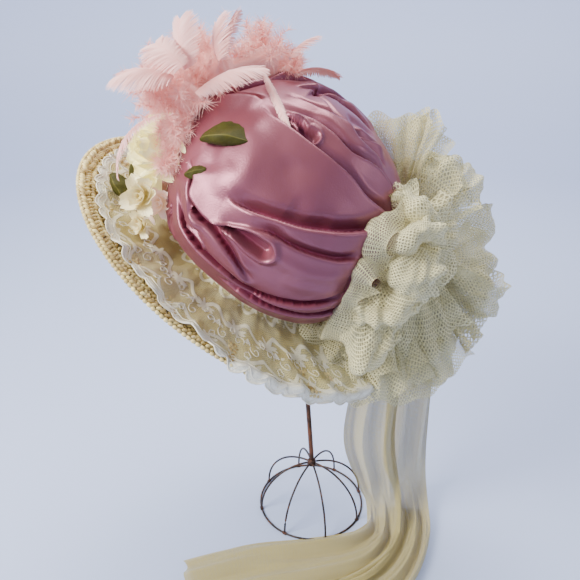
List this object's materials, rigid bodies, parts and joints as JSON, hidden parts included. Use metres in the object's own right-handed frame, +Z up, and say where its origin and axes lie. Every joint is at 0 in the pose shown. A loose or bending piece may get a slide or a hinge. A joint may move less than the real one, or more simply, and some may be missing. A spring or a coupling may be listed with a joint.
{
  "type": "wide brim hat on a wire hat stand",
  "caption": "Wide brim straw hat with a gathered satin crown, lace ruffle, net pouf with long tails, feathers and silk flowers, tilted on a wire hat stand.",
  "frame": {"origin": "middle of the bounding box, on the surface that the stand's foot rests on", "axes": "+Z up, +X to the viewer's right and +Y away from the viewer; the hat's front faces -X and its far side is the wearer's right"},
  "size_m": [0.4162, 0.3902, 0.5716],
  "materials": {
    "wire": "dull dark brown, lightly rusted",
    "shaft": "dark rusty brown",
    "straw": "cream gold plaited straw",
    "satin": "rose satin with a soft sheen",
    "lace": "ivory corded lace",
    "net": "cream net",
    "tulle": "fine cream tulle",
    "feather": "pale pink feather",
    "down": "pale pink down",
    "rose": "cream silk",
    "blossom": "pale pink silk",
    "leaf": "olive fabric"
  },
  "bodies": {
    "root": {"base_collar": "shaft", "base_rib_1": "wire", "base_rib_2": "wire", "base_rib_3": "wire", "base_rib_4": "wire", "base_rib_5": "wire", "base_rib_6": "wire", "base_rib_7": "wire", "base_rib_8": "wire", "base_ring": "wire", "blossom_1": "blossom", "blossom_2": "blossom", "blossom_3": "blossom", "feather_1": "feather", "feather_10": "feather", "feather_2": "feather", "feather_3": "feather", "feather_4": "feather", "feather_5": "feather", "feather_6": "feather", "feather_7": "feather", "feather_8": "feather", "feather_9": "feather", "hanging_petal": "blossom", "lace_ruffle": "lace", "leaf_1": "leaf", "leaf_2": "leaf", "leaf_3": "leaf", "leaf_4": "leaf", "marabou": "down", "net_pouf": "net", "rose": "rose", "satin_crown": "satin", "shaft": "shaft", "straw_body": "straw", "streamer_1": "tulle", "streamer_2": "tulle", "top_collar": "shaft", "top_rib_1": "wire", "top_rib_2": "wire", "top_rib_3": "wire", "top_rib_4": "wire", "top_rib_5": "wire", "top_rib_6": "wire", "top_ring": "wire"}
  },
  "joints": []
}
